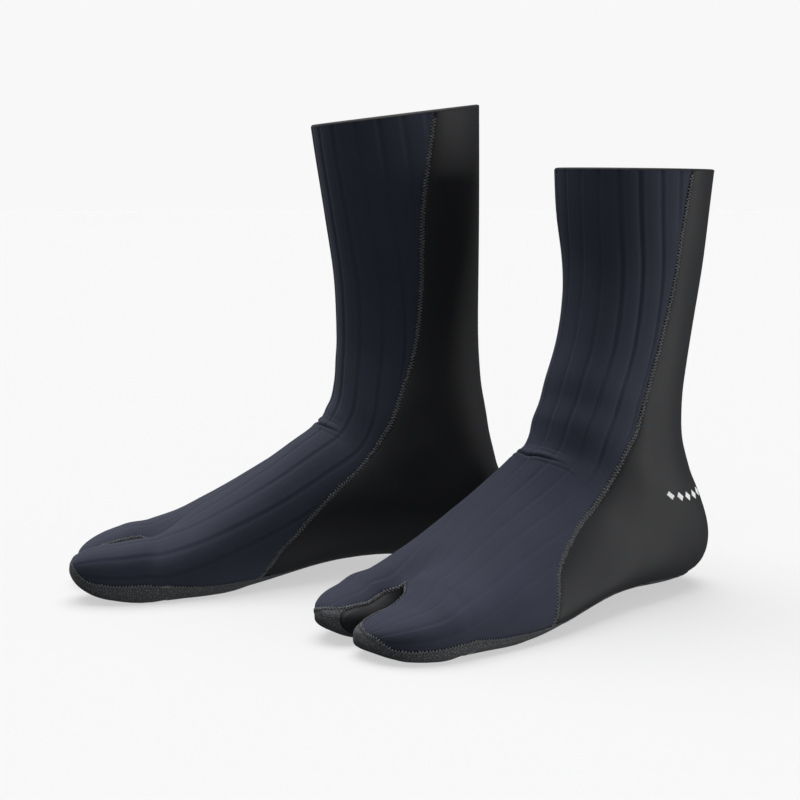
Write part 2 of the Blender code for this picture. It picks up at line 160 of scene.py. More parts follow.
class Skin:
    """The skin of one boot behind the toes. A turn is the share of the half girth from the front line:
    positive over the inner side, negative over the outer side, and past 1 on round the back."""

    def __init__(self, cuff_front, cuff_back, reach, front_shift, back_shift):
        rows = np.array(SECTIONS, float)
        places = np.arange(len(rows))
        shift = reach * np.interp(places, [2, 5], [1, 0])
        rows[:, 0] += shift + np.interp(places, [4, 6, 8, 10, 12], [0, *front_shift])
        rows[:, 2] += shift + np.interp(places, [5, 10, 12], [0, *back_shift])
        self.slit_start = TOE_ROOT + reach
        cuff = np.array([*cuff_front, *cuff_back, 0, 0, CUFF_HALF_WIDTH, -CUFF_HALF_WIDTH, .5, 2, 2])
        calf = .54 * rows[-1] + .46 * cuff
        calf[6] = .4 * rows[-1, 6] + .6 * CUFF_HALF_WIDTH
        calf[7] = -calf[6]
        self.rows = np.vstack([rows, calf, cuff])
        self.second = bends(self.rows)
        self.side_second = {side: bends(np.array(shares)) for side, shares in SIDE_SEAM_SHARE.items()}

    def outlines(self, places, side, count=160):
        row = on_spline(self.rows, self.second, np.asarray(places, float))
        fx, fz, kx, kz, ridge, keel, inner, outer, widest, n_front, n_back = [v[:, None] for v in row.T]
        angle = np.linspace(0, pi, count)[None]
        cosine = np.cos(angle)
        power = np.where(cosine >= 0, 2 / n_front, 2 / n_back)
        along = np.abs(cosine) ** power
        across = np.abs(np.sin(angle)) ** power
        share = np.where(cosine >= 0, widest + (1 - widest) * along, widest - widest * along)
        middle = keel + (ridge - keel) * share
        centre = keel + (ridge - keel) * widest
        reach = inner - centre if side > 0 else centre - outer
        return np.stack([kx + (fx - kx) * share, middle + side * reach * across, kz + (fz - kz) * share], axis=-1)

    def at(self, places, turns):
        """Points for every place (n) at its turns (n, m)."""
        turns = (turns + 1) % 2 - 1
        points = np.empty(turns.shape + (3,))
        for side in (1, -1):
            lines = self.outlines(places, side)
            runs = lengths(lines)
            for i, (line, run) in enumerate(zip(lines, runs)):
                mine = turns[i] >= 0 if side > 0 else turns[i] < 0
                if mine.any():
                    points[i, mine] = resample(line, run, np.abs(turns[i][mine]))
        near = bump(points[..., 1] - VALLEY["y"], VALLEY["width"])
        near = near * smooth(points[..., 0], self.slit_start - VALLEY["length"], self.slit_start + 4)
        points[..., 2] -= VALLEY["depth"] * near * smooth(points[..., 2], 8, 36)
        return points

    def normals(self, places, turns):
        ahead = self.at(np.minimum(places + .02, CUFF + .02), turns)
        behind = self.at(places - .02, turns)
        cross = np.cross(self.at(places, turns + .008) - self.at(places, turns - .008), ahead - behind)
        return cross / np.linalg.norm(cross, axis=-1, keepdims=True)

    def girth(self, places, side):
        return lengths(self.outlines(places, side))[:, -1]

    def seam_share(self, places, side):
        """Share of the half girth at which the sole seam runs, or 1 behind the heel."""
        places = np.atleast_1d(np.asarray(places, float))
        heights = np.interp(places, *zip(*SOLE_SEAM_HEIGHT))
        lines = self.outlines(places, side)
        runs = lengths(lines)
        shares = [1.0 if line[-1, 2] >= height else float(np.interp(-height, -line[:, 2], run / run[-1]))
                  for line, run, height in zip(lines, runs, heights)]
        return np.array(shares)

    def side_share(self, places, side):
        """Share of the half girth at which the front panel ends."""
        places = np.atleast_1d(np.asarray(places, float))
        sole = self.seam_share(places, side)
        shares = np.array(SIDE_SEAM_SHARE[side])
        upper = on_spline(shares, self.side_second[side], np.maximum(places, 3) - 3)
        start = self.seam_share(SIDE_SEAM_START, side)[0]
        lower = start + (shares[0] - start) * np.clip((places - SIDE_SEAM_START) / (3 - SIDE_SEAM_START), 0, 1)
        return np.where(places >= 3, upper, np.where(places >= SIDE_SEAM_START, lower, sole))

    def heel_place(self):
        low, high = 6.0, 7.0
        for _ in range(30):
            middle = (low + high) / 2
            if self.seam_share(middle, 1)[0] >= 1:
                high = middle
            else:
                low = middle
        return high

    def even_places(self, start, stop, step, turns=(0, .35, -.35)):
        """Places whose lines lie at most one step apart."""
        fine = np.linspace(start, stop, 600)
        track = self.at(fine, np.tile(turns, (len(fine), 1)))
        run = np.max(np.linalg.norm(np.diff(track, axis=0), axis=-1), axis=1)
        run = np.concatenate([[0], np.cumsum(run)])
        return np.interp(np.linspace(0, run[-1], int(run[-1] / step) + 2), run, fine)


# ---------------------------------------------------------------- toe pockets

def rounding(x, start, stop, power):
    return (1 - np.clip((x - start) / (stop - start), 0, 1) ** power) ** (1 / power)


def toe_ring(toe, x):
    """Dense ring round a toe pocket at x, from the middle of the slit wall over the top to the far side."""
    tip = toe["tip"]
    along = np.clip((x - TOE_ROOT) / (tip - TOE_ROOT), 0, 1)
    slit = toe["tip_y"] + (toe["slit"] - toe["tip_y"]) * rounding(x, toe["slit_round"], tip, 2.3)
    far = toe["tip_y"] + (toe["far"] - toe["tip_y"]) * rounding(x, TOE_ROOT - 4, tip, 2.2)
    line = toe["top_tip"] + (toe["top"] - toe["top_tip"]) * (1 - along) ** 1.6
    top = toe["tip_z"] + (line - toe["tip_z"]) * rounding(x, toe["top_round"], tip, 2.2)
    spring = toe["spring"] * along ** 2
    bottom = toe["tip_z"] + (spring - toe["tip_z"]) * rounding(x, toe["bottom_round"], tip, 2.2)
    angle = np.linspace(pi, -pi, 241)
    power = np.where(np.sin(angle) > 0, 2 / TOE_SQUARENESS[0], 2 / TOE_SQUARENESS[1])
    across = np.sign(np.cos(angle)) * np.abs(np.cos(angle)) ** power
    upward = np.sign(np.sin(angle)) * np.abs(np.sin(angle)) ** power
    y = (slit + far) / 2 + (far - slit) / 2 * across
    z = (top + bottom) / 2 + (top - bottom) / 2 * upward
    z = z + toe["lean"] * (far - slit) / 2 * across * np.clip(upward, 0, 1)
    return np.stack([np.full_like(y, x), y, z], axis=-1)


class Toe:
    """A toe pocket that grows smoothly out of the end of the skin."""

    def __init__(self, skin, shape, droop, reach):
        self.skin = skin
        self.shape = shape
        self.droop = droop
        self.reach = reach
        self.side = 1 if shape["far"] > shape["slit"] else -1
        self.seam = skin.seam_share(0, self.side)[0]

    def turns(self, shares):
        """Turns of the skin that continue as these shares of the ring."""
        top = (shares - SLIT_SHARE) / (BUMPER_SHARE - SLIT_SHARE) * self.seam
        under = self.seam + (shares - BUMPER_SHARE) / (1 - SLIT_SHARE - BUMPER_SHARE) * (1 - self.seam)
        return np.where(shares <= BUMPER_SHARE, top, under)

    def root(self, x, shares):
        """The end of the skin, carried on forward to x and closed by a flat wall along the slit."""
        turns = np.clip(self.turns(shares), 0, 1) * self.side
        turns = np.where(np.abs(turns) >= 1, .9999 * self.side, turns)
        ends = self.skin.at(np.array([0.0, .1]), np.tile(turns, (2, 1)))
        edges = self.skin.at(np.array([0.0, .1]), np.array([[0, 1.0]] * 2))
        wall = np.clip((shares - (1 - SLIT_SHARE)) / (2 * SLIT_SHARE), 0, 1)
        wall = np.where(shares < SLIT_SHARE, (shares + SLIT_SHARE) / (2 * SLIT_SHARE), wall)[:, None]
        walls = [edge[1] + (edge[0] - edge[1]) * wall for edge in edges]
        on_wall = ((shares < SLIT_SHARE) | (shares > 1 - SLIT_SHARE))[:, None]
        here, back = (np.where(on_wall, flat, end) for flat, end in zip(walls, ends))
        slope = (here - back) / (here[:, :1] - back[:, :1])
        return here + slope * (x - TOE_ROOT)

    def at(self, x, shares):
        """Points of the pocket for every x (n) at shares of its ring (n, m)."""
        points = np.empty(shares.shape + (3,))
        for i, value in enumerate(np.asarray(x, float)):
            whole = shares[i] % 1
            seen = min(value, self.shape["tip"] - 1e-3)
            ring = toe_ring(self.shape, seen)
            ring = resample(ring, lengths(ring), whole)
            near = bump(ring[:, 1] - VALLEY["y"], VALLEY["width"]) * smooth(ring[:, 2], 8, 36)
            ring[:, 2] -= VALLEY["depth"] * near * (1 - .7 * smooth(value, TOE_ROOT, self.shape["tip"]))
            ring[:, 0] += self.reach
            root = self.root(value, whole)
            off_wall = np.clip(np.minimum(whole, 1 - whole) / .2, 0, 1)
            share = smooth((value - TOE_ROOT) / (6 + 9 * off_wall), 0, 1)[:, None]
            here = root * (1 - share) + ring * share
            slit_side = 1 - smooth(np.abs(here[:, 1] - self.shape["slit"]), 0, 48)
            sink = self.droop * smooth(value, TOE_ROOT, TOE_ROOT + 24) * (.5 + .5 * slit_side)
            here[:, 2] *= 1 - sink
            points[i] = here
        return points

    def normals(self, x, shares):
        seen = np.minimum(x, self.shape["tip"] - .5)
        forward = self.at(seen + .3, shares) - self.at(np.maximum(seen - .3, TOE_ROOT), shares)
        around = self.at(seen, shares + .006) - self.at(seen, shares - .006)
        cross = np.cross(forward, around) * self.side
        size = np.linalg.norm(cross, axis=-1, keepdims=True)
        return np.where(size > 1e-9, cross / np.maximum(size, 1e-9), [1.0, 0, 0])


# ---------------------------------------------------------------- relief of the cloth

def rib_number(distance):
    """Rib coordinate of the cloth: whole numbers lie in the grooves."""
    return np.interp(distance, RIBS, np.arange(len(RIBS)))


def rib_relief(number, spacing, strength):
    """Height of the ribs and the shade painted into their grooves."""
    off = (number - np.round(number)) * spacing
    groove = bump(off, RIB_WIDTH)
    welt = bump(off + 2.3, 1.2)
    height = strength * (-RIB_DEPTH * groove + RIB_WELT * welt + .1 * np.cos(2 * pi * number + pi))
    # the second value is painted shade that darkens the grooves
    return height, .28 * groove * strength


def waves(x, y, seed):
    """Slow, irregular swelling of the cloth, about -1 to 1."""
    draw = np.random.default_rng(seed)
    total = 0
    for size in (90, 60, 42, 30):
        direction = draw.uniform(0, pi)
        phase = draw.uniform(0, 2 * pi)
        total = total + np.sin((x * cos(direction) + y * sin(direction)) * 2 * pi / size + phase) / 2
    return total / 2


class Boot:
    def __init__(self, name, stand, turn, inner_side, cuff_front, cuff_back, reach, front_shift, back_shift,
                 toe_reach, droop, crease):
        self.name = name
        self.crease = crease
        self.inner_side = inner_side
        self.reach = reach
        self.skin = Skin(cuff_front, cuff_back, reach, front_shift, back_shift)
        self.heel = self.skin.heel_place()
        self.toes = {}
        for key, shape, longer, sink in zip(("big_toe", "small_toes"), (BIG_TOE, SMALL_TOES), toe_reach, droop):
            longest = {edge: shape[edge] + longer for edge in ("tip", "slit_round", "top_round", "bottom_round")}
            self.toes[key] = Toe(self.skin, {**shape, **longest}, sink, reach)
        angle = radians(turn)
        forward = np.array([-cos(angle), -sin(angle), 0])
        left = np.array([sin(angle), -cos(angle), 0])
        self.axes = np.array([forward, left * inner_side, [0, 0, 1]])
        self.stand = np.array([*stand, 0.0])
        self.seed = 3 if inner_side > 0 else 8

    def place(self, points):
        """Boot millimetres to metres in the row frame."""
        return (np.asarray(points) @ self.axes + self.stand) * MM

    def fold(self, obj, body):
        if body == "shaft":
            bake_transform(obj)
        else:
            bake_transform(obj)


# ---------------------------------------------------------------- meshes

def patch_faces(ids, flip):
    quads = np.stack([ids[:-1, :-1], ids[:-1, 1:], ids[1:, 1:], ids[1:, :-1]], axis=-1).reshape(-1, 4)
    return quads[:, ::-1] if flip else quads


def new_mesh(name, boot, patches, materials):
    """One mesh from patches of points (n, m, 3) with outward directions, cloth coordinates and painted shade."""
    all_points, all_cloth, all_painted_shades, quads, slots = [], [], [], [], []
    base = 0
    for patch in patches:
        points = boot.place(patch["points"])
        outward = patch["outward"] @ boot.axes
        rows, columns = points.shape[:2]
        ids = np.arange(rows * columns).reshape(rows, columns) + base
        i, j = rows // 2, columns // 2
        i, j = min(i, rows - 2), min(j, columns - 2)
        facing = np.cross(points[i, j + 1] - points[i, j], points[i + 1, j] - points[i, j]).dot(outward[i, j])
        faces = patch_faces(ids, facing < 0)
        quads.append(faces)
        slots += [patch.get("slot", 0)] * len(faces)
        all_points.append(points.reshape(-1, 3))
        all_cloth.append(patch["cloth"].reshape(-1, 2))
        all_painted_shades.append(patch["mark"].reshape(-1))
        base += rows * columns
    points = np.concatenate(all_points)
    cloth = np.concatenate(all_cloth)
    painted_shades = np.concatenate(all_painted_shades)
    quads = np.concatenate(quads)
    keys, first, same = np.unique(np.round(points / MM, 3), axis=0, return_index=True, return_inverse=True)
    same = same.reshape(-1)
    faces, corners, face_slots = [], [], []
    for face, slot in zip(quads, slots):
        welded = same[face]
        keep = [k for k in range(4) if welded[k] != welded[k - 1]]
        if len(keep) > 2 and len(set(welded[keep])) == len(keep):
            faces.append([int(welded[k]) for k in keep])
            corners += [int(face[k]) for k in keep]
            face_slots.append(slot)
    mesh = bpy.data.meshes.new(name)
    mesh.from_pydata(points[first].tolist(), [], faces)
    layer = mesh.uv_layers.new(name="cloth")
    layer.data.foreach_set("uv", cloth[corners].astype(np.float32).ravel())
    attribute = mesh.attributes.new("mark", "FLOAT", "POINT")
    attribute.data.foreach_set("value", painted_shades[first].astype(np.float32))
    mesh.polygons.foreach_set("material_index", face_slots)
    mesh.polygons.foreach_set("use_smooth", [True] * len(faces))
    for material in materials:
        mesh.materials.append(material)
    mesh.update()
    obj = bpy.data.objects.new(name, mesh)
    bpy.context.collection.objects.link(obj)
    return obj


def skin_patch(boot, places, turns, height, mark, cloth, slot=0, inset=0.0):
    """A patch of the skin, raised by its relief."""
    normals = boot.skin.normals(places, turns)
    points = press(boot.skin.at(places, turns) + normals * (height - inset)[..., None])
    return dict(points=points, outward=normals, cloth=cloth, mark=mark, slot=slot)


def stitches(name, boot, points, normals, width, pitch, radius, lift, material):
    """Thread that crosses a seam from side to side, one slanting stitch after another."""
    run = lengths(points)
    count = int(run[-1] / pitch) * 2
    stops = np.linspace(0, run[-1], count + 1)
    line = np.stack([np.interp(stops, run, points[:, k]) for k in range(3)], axis=-1)
    normal = np.stack([np.interp(stops, run, normals[:, k]) for k in range(3)], axis=-1)
    tangent = np.gradient(line, axis=0)
    across = np.cross(normal, tangent)
    across /= np.linalg.norm(across, axis=-1, keepdims=True)
    draw = np.random.default_rng(boot.seed)
    sway = draw.normal(0, .12, count + 1)
    side = np.where(np.arange(count + 1) % 2 == 0, 1, -1) + sway
    knots = line + across * (side * width / 2)[:, None]
    verts, faces = [], []
    corners = np.linspace(0, 2 * pi, 6)[:-1]
    for k in range(count):
        a, b = knots[k], knots[k + 1]
        up = normal[k]
        along = (b - a) / np.linalg.norm(b - a)
        sideways = np.cross(up, along)
        base = len(verts)
        size = radius * draw.uniform(.85, 1.15)
        verts.append(a - along * radius * .8 + up * (lift - radius * 1.2))
        for share in (.18, .5, .82):
            centre = a + (b - a) * share + up * (lift + (.25 if share == .5 else .1))
            verts += [centre + size * (sideways * cos(c) + up * sin(c)) for c in corners]
        verts.append(b + along * radius * .8 + up * (lift - radius * 1.2))
        last = base + 16
        for c in range(5):
            n = (c + 1) % 5
            faces.append([base, base + 1 + n, base + 1 + c])
            for ring in range(2):
                low = base + 1 + 5 * ring
                faces.append([low + c, low + n, low + 5 + n, low + 5 + c])
            faces.append([last, base + 11 + c, base + 11 + n])
    if boot.inner_side < 0:
        faces = [face[::-1] for face in faces]
    mesh = bpy.data.meshes.new(name)
    mesh.from_pydata(boot.place(np.array(verts)).tolist(), [], faces)
    mesh.polygons.foreach_set("use_smooth", [True] * len(faces))
    mesh.materials.append(material)
    mesh.update()
    obj = bpy.data.objects.new(name, mesh)
    bpy.context.collection.objects.link(obj)
    return obj


# ---------------------------------------------------------------- materials

class Nodes:
    """A small helper to write a material's nodes."""

    def __init__(self, name):
        self.material = bpy.data.materials.new(name)
        self.material.use_nodes = True
        self.tree = self.material.node_tree
        self.shader = self.tree.nodes["Principled BSDF"]

    def add(self, kind, inputs=(), **settings):
        node = self.tree.nodes.new(kind)
        for key, value in settings.items():
            setattr(node, key, value)
        for key, value in dict(inputs).items():
            if isinstance(value, bpy.types.NodeSocket):
                self.tree.links.new(value, node.inputs[key])
            else:
                node.inputs[key].default_value = value
        return node

    def math(self, operation, a, b=0.0):
        return self.add("ShaderNodeMath", {0: a, 1: b}, operation=operation).outputs[0]

    def ramp(self, value, low, high):
        node = self.add("ShaderNodeMapRange", {"Value": value, "From Min": low, "From Max": high})
        return node.outputs[0]

    def mix(self, factor, a, b):
        node = self.add("ShaderNodeMix", {"Factor": factor}, data_type="RGBA")
        for socket, value in ((node.inputs[6], a), (node.inputs[7], b)):
            if isinstance(value, bpy.types.NodeSocket):
                self.tree.links.new(value, socket)
            else:
                socket.default_value = (*value, 1)
        return node.outputs[2]

    def set(self, **values):
        for key, value in values.items():
            socket = self.shader.inputs[key.replace("_", " ")]
            if isinstance(value, bpy.types.NodeSocket):
                self.tree.links.new(value, socket)
            else:
                socket.default_value = value
        return self.material


def jersey():
    n = Nodes("ribbed_jersey")
    cloth = n.add("ShaderNodeUVMap", uv_map="cloth").outputs[0]
    mark = n.add("ShaderNodeAttribute", attribute_name="mark").outputs["Fac"]
    split = n.add("ShaderNodeSeparateXYZ", {0: cloth})
    wale = n.math("SINE", n.math("MULTIPLY", split.outputs[0], 2 * pi / .9))
    course = n.math("SINE", n.math("MULTIPLY", split.outputs[1], 2 * pi / 1.1))
    knit = n.math("MULTIPLY", wale, course)
    fuzz = n.add("ShaderNodeTexNoise", {"Vector": cloth, "Scale": 1.6, "Detail": 4.0}).outputs[0]
    patchy = n.add("ShaderNodeTexNoise", {"Vector": cloth, "Scale": .035, "Detail": 3.0}).outputs[0]
    base = n.mix(n.ramp(patchy, .35, .65), (.0190, .0221, .0365), (.0222, .0258, .0418))
    base = n.mix(n.ramp(fuzz, .35, .75), base, (.0270, .0308, .0472))
    # painted shade: the jersey is darkened in the rib grooves, along the ankle crease and in the valleys beside the
    # seams
    base = n.mix(n.ramp(mark, .25, 1), base, (.0045, .0050, .0085))
    height = n.math("ADD", n.math("MULTIPLY", knit, .15), fuzz)
    bumpy = n.add("ShaderNodeBump", {"Strength": .25, "Distance": .0004, "Height": height}).outputs[0]
    return n.set(Base_Color=base, Roughness=.8, Specular_IOR_Level=.2, Normal=bumpy,
                 Sheen_Weight=.06, Sheen_Roughness=.45, Sheen_Tint=(.75, .8, 1, 1))


def smooth_neoprene(name="smooth_neoprene"):
    n = Nodes(name)
    cloth = n.add("ShaderNodeUVMap", uv_map="cloth").outputs[0]
    mark = n.add("ShaderNodeAttribute", attribute_name="mark").outputs["Fac"]
    grain = n.add("ShaderNodeTexNoise", {"Vector": cloth, "Scale": 2.2, "Detail": 5.0}).outputs[0]
    patchy = n.add("ShaderNodeTexNoise", {"Vector": cloth, "Scale": .03, "Detail": 3.0}).outputs[0]
    base = n.mix(n.ramp(patchy, .3, .7), (.0085, .0091, .0105), (.0110, .0116, .0130))
    # painted shade: the neoprene is darkened in the valleys beside the seams
    base = n.mix(n.ramp(mark, .2, 1), base, (.003, .003, .003))
    bumpy = n.add("ShaderNodeBump", {"Strength": .15, "Distance": .0003, "Height": grain}).outputs[0]
    rough = n.ramp(grain, -1.5, 1.7)
    return n.set(Base_Color=base, Roughness=rough, Specular_IOR_Level=.25, Normal=bumpy)


def grip():
    n = Nodes("grip_sole")
    cloth = n.add("ShaderNodeUVMap", uv_map="cloth").outputs[0]
    dots = n.add("ShaderNodeTexVoronoi", {"Vector": cloth, "Scale": .75, "Randomness": .55}).outputs["Distance"]
    dot = n.ramp(dots, .42, .18)
    grain = n.add("ShaderNodeTexNoise", {"Vector": cloth, "Scale": 1.8, "Detail": 4.0}).outputs[0]
    speck = n.ramp(grain, .5, .72)
    base = n.mix(dot, (.028, .030, .034), (.076, .079, .086))
    base = n.mix(n.math("MULTIPLY", speck, .8), base, (.21, .215, .225))
    height = n.math("ADD", dot, n.math("MULTIPLY", grain, .6))
    bumpy = n.add("ShaderNodeBump", {"Strength": .55, "Distance": .0005, "Height": height}).outputs[0]
    return n.set(Base_Color=base, Roughness=.82, Specular_IOR_Level=.3, Normal=bumpy)


def thread():
    n = Nodes("thread")
    grain = n.add("ShaderNodeTexNoise", {"Scale": 520.0, "Detail": 2.0}).outputs[0]
    # dark thread; the light grey mixed in by the noise is painted highlight where light catches the thread loops
    base = n.mix(n.ramp(grain, .46, .56), (.010, .011, .015), (.19, .195, .205))
    return n.set(Base_Color=base, Roughness=.6, Specular_IOR_Level=.4)


def lining():
    n = Nodes("lining")
    cloth = n.add("ShaderNodeUVMap", uv_map="cloth").outputs[0]
    fuzz = n.add("ShaderNodeTexNoise", {"Vector": cloth, "Scale": .9, "Detail": 6.0}).outputs[0]
    base = n.mix(n.ramp(fuzz, .3, .7), (.010, .010, .012), (.024, .024, .027))
    bumpy = n.add("ShaderNodeBump", {"Strength": .5, "Distance": .0008, "Height": fuzz}).outputs[0]
    return n.set(Base_Color=base, Roughness=.95, Specular_IOR_Level=.2, Normal=bumpy,
                 Sheen_Weight=.2, Sheen_Roughness=.5)


def print_white():
    n = Nodes("heel_print")
    return n.set(Base_Color=(.78, .78, .78, 1), Roughness=.6, Specular_IOR_Level=.2)


JERSEY, SMOOTH, GRIP, THREAD, LINING, PRINT = jersey(), smooth_neoprene(), grip(), thread(), lining(), print_white()


# ---------------------------------------------------------------- building a boot

def edge_dip(distance):
    """The cloth is drawn down towards a seam."""
    return -.75 * bump(distance, 1.1) - .45 * bump(distance, 5)


def even_turns(start, stop, count):
    """Turns (n, count) spread evenly between two turns for each row."""
    share = np.linspace(0, 1, count)[None]
    return start[:, None] + (stop - start)[:, None] * share


def front_relief(boot, places, turns):
    skin = boot.skin
    places_2d = np.broadcast_to(places[:, None], turns.shape)
    girth = np.where(turns >= 0, skin.girth(places, 1)[:, None], skin.girth(places, -1)[:, None])
    edge = np.where(turns >= 0, skin.side_share(places, 1)[:, None], skin.side_share(places, -1)[:, None])
    distance = turns * girth
    to_seam = (edge - np.abs(turns)) * girth
    number = rib_number(distance)
    strength = .55 + .45 * smooth(places_2d, 6, 8)
    strength = strength * smooth(to_seam, 1.5, 5)
    height, mark = rib_relief(number, 13.5, strength)
    away = np.abs(distance)
    line = boot.crease + np.interp(away, *zip(*CREASE["climb"]))
    scale = np.interp(places_2d, [4, 5, 6, 7, 8, 9], [17, 13, 10, 9.5, 11, 14])
    off = (places_2d - line) * scale * (1 + away / 40)
    fade = 1 - smooth(away, 6, CREASE["reach"])
    height = height - CREASE["depth"] * fade * bump(off, CREASE["width"])
    height = height + .5 * fade * bump(off - 2.8, 2.2) + .3 * fade * bump(off + 3.2, 2.6)
    # painted shade along the bottom of the ankle crease
    mark = np.maximum(mark, .9 * fade * bump(off, .9))
    for shift, deep, start, stop in ((6, .35, 4, 20), (9.5, .25, 2, 24), (-5.5, .3, 10, 34)):
        part = smooth(away, start - 4, start) * (1 - smooth(away, stop - 8, stop))
        height = height - deep * part * bump(off - shift, 1.3)
    height = height + edge_dip(to_seam)
    # painted shade in the valley beside the side seams
    mark = np.maximum(mark, .8 * bump(to_seam, 1.2))
    height = height + .35 * waves(distance, places_2d * 22, boot.seed)
    return height, mark, distance, number


def build_front(boot):
    skin = boot.skin
    places = skin.even_places(0, CUFF, ROW_STEP)
    creased = boot.crease + np.linspace(-.25, 1.1, 24)
    slanting = np.linspace(SIDE_SEAM_START - .3, 4.2, 64)
    places = np.unique(np.round(np.concatenate([places, creased, slanting]), 4))
    inner, outer = skin.side_share(places, 1), skin.side_share(places, -1)
    turns = even_turns(-outer, inner, 150)
    height, mark, distance, number = front_relief(boot, places, turns)
    run = lengths(skin.at(places, np.zeros((len(places), 1))).transpose(1, 0, 2))[0]
    cloth = np.stack([distance, np.broadcast_to(run[:, None], distance.shape)], axis=-1)
    patch = skin_patch(boot, places, turns, height, mark, cloth)
    obj = new_mesh(f"{boot.name}_front_cloth", boot, [patch], [JERSEY])
    boot.fold(obj, "shaft")
    name = boot.name
    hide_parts(f"{name}_instep_panel", f"{name}_ankle_front", f"{name}_shin_panel", f"{name}_toe_web")


def back_relief(boot, places, turns):
    """Height, painted shade in the seam valleys and cloth coordinates of the smooth neoprene behind the side seams."""
    skin = boot.skin
    wrapped = (turns + 1) % 2 - 1
    on_inner = wrapped >= 0
    girth, edge, sole = (np.where(on_inner, measure(places, 1)[:, None], measure(places, -1)[:, None])
                         for measure in (skin.girth, skin.side_share, skin.seam_share))
    round_heel = (places >= boot.heel - 1e-6)[:, None]
    to_side = (np.abs(wrapped) - edge) * girth
    to_sole = np.where(round_heel, 99, (sole - np.abs(wrapped)) * girth)
    run = np.broadcast_to(places[:, None] * 20, turns.shape)
    height = edge_dip(to_side) + edge_dip(to_sole) + .5 * waves(wrapped * girth, run, boot.seed + 1)
    behind = smooth(np.abs(wrapped), .6, .95)
    for place, width, depth in ((8.9, .22, .5), (9.7, .3, .45), (10.6, .25, .3)):
        line = place + .6 * np.abs(1 - np.abs(wrapped))
        height = height - depth * behind * bump(places[:, None] - line, width)
    # painted shade in the valleys beside the side seams and the sole seam
    mark = .8 * bump(to_side, 1.2) + .5 * bump(to_sole, 1.2)
    return height, mark, np.stack([wrapped * girth, run], axis=-1)


def back_patch(boot, places, turns, lift=0.0):
    height, mark, cloth = back_relief(boot, places, turns)
    return skin_patch(boot, places, turns, height + lift, mark, cloth)


def build_back(boot):
    skin = boot.skin
    places = skin.even_places(SIDE_SEAM_START, CUFF, 3.2, turns=(.45, -.45, 1))
    above = np.where(places >= boot.heel)[0]
    places[above[0]] = boot.heel
    below = np.arange(above[0] + 1)
    inner, outer = skin.side_share(places, 1), skin.side_share(places, -1)
    sole_in, sole_out = skin.seam_share(places, 1), skin.seam_share(places, -1)
    sole_in[above[0]] = sole_out[above[0]] = 1
    middle = np.ones(len(places))
    panels = [(below, inner, sole_in), (below, 2 - sole_out, 2 - outer), (above, inner, middle), (above, middle, 2 - outer)]
    patches = [back_patch(boot, places[rows], even_turns(start[rows], stop[rows], 56)) for rows, start, stop in panels]
    name = boot.name
    obj = new_mesh(f"{name}_back_cloth", boot, patches, [SMOOTH])
    boot.fold(obj, "shaft")
    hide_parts(f"{name}_heel_panel", f"{name}_ankle_back", f"{name}_calf_panel")


def build_heel_mark(boot):
    """A plain row of slanting bars printed on the outer side of the heel."""
    bars = []
    for number in range(HEEL_MARK["count"]):
        place = HEEL_MARK["place"] + number * HEEL_MARK["climb"]
        share = HEEL_MARK["share"] + number * HEEL_MARK["step"]
        places = place + np.linspace(-1, 1, 5) * HEEL_MARK["half_height"]
        slant = np.linspace(-1, 1, 5)[:, None] * HEEL_MARK["slant"]
        turns = -(share + slant + np.linspace(-1, 1, 4)[None] * HEEL_MARK["half_width"])
        bars.append(back_patch(boot, places, turns, lift=.15))
    obj = new_mesh(f"{boot.name}_heel_mark", boot, bars, [PRINT])
    boot.fold(obj, "shaft")


def build_sole(boot):
    skin = boot.skin
    places = np.append(skin.even_places(0, boot.heel - .02, 3, turns=(1, .7, -.7)), boot.heel)
    inner, outer = skin.seam_share(places, 1), skin.seam_share(places, -1)
    inner[-1] = outer[-1] = 1
    turns = even_turns(inner, 2 - outer, 90)
    wrapped = (turns + 1) % 2 - 1
    girth = np.where(wrapped >= 0, skin.girth(places, 1)[:, None], skin.girth(places, -1)[:, None])
    edge = np.where(wrapped >= 0, inner[:, None], outer[:, None])
    to_seam = (np.abs(wrapped) - edge) * girth
    height = edge_dip(to_seam) + .15
    points = skin.at(places, turns)
    cloth = points[..., :2]
    cloth = np.stack([cloth[..., 0], wrapped * girth], axis=-1)
    # the fifth argument is painted shade in the valley beside the sole seam
    patch = skin_patch(boot, places, turns, height, .5 * bump(to_seam, 1.2), cloth)
    obj = new_mesh(f"{boot.name}_sole_cloth", boot, [patch], [GRIP])
    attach(obj, f"{boot.name}_foot")
    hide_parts(f"{boot.name}_sole_panel")


def tongue(x, end, length, share_from, share_to):
    """Shares between which a panel with a rounded end runs at x."""
    q = 1 - np.sqrt(1 - np.clip((x - (end - length)) / length, 0, 1) ** 2.4)
    middle = (share_from + share_to) / 2
    return share_from + (middle - share_from) * q, share_to + (middle - share_to) * q


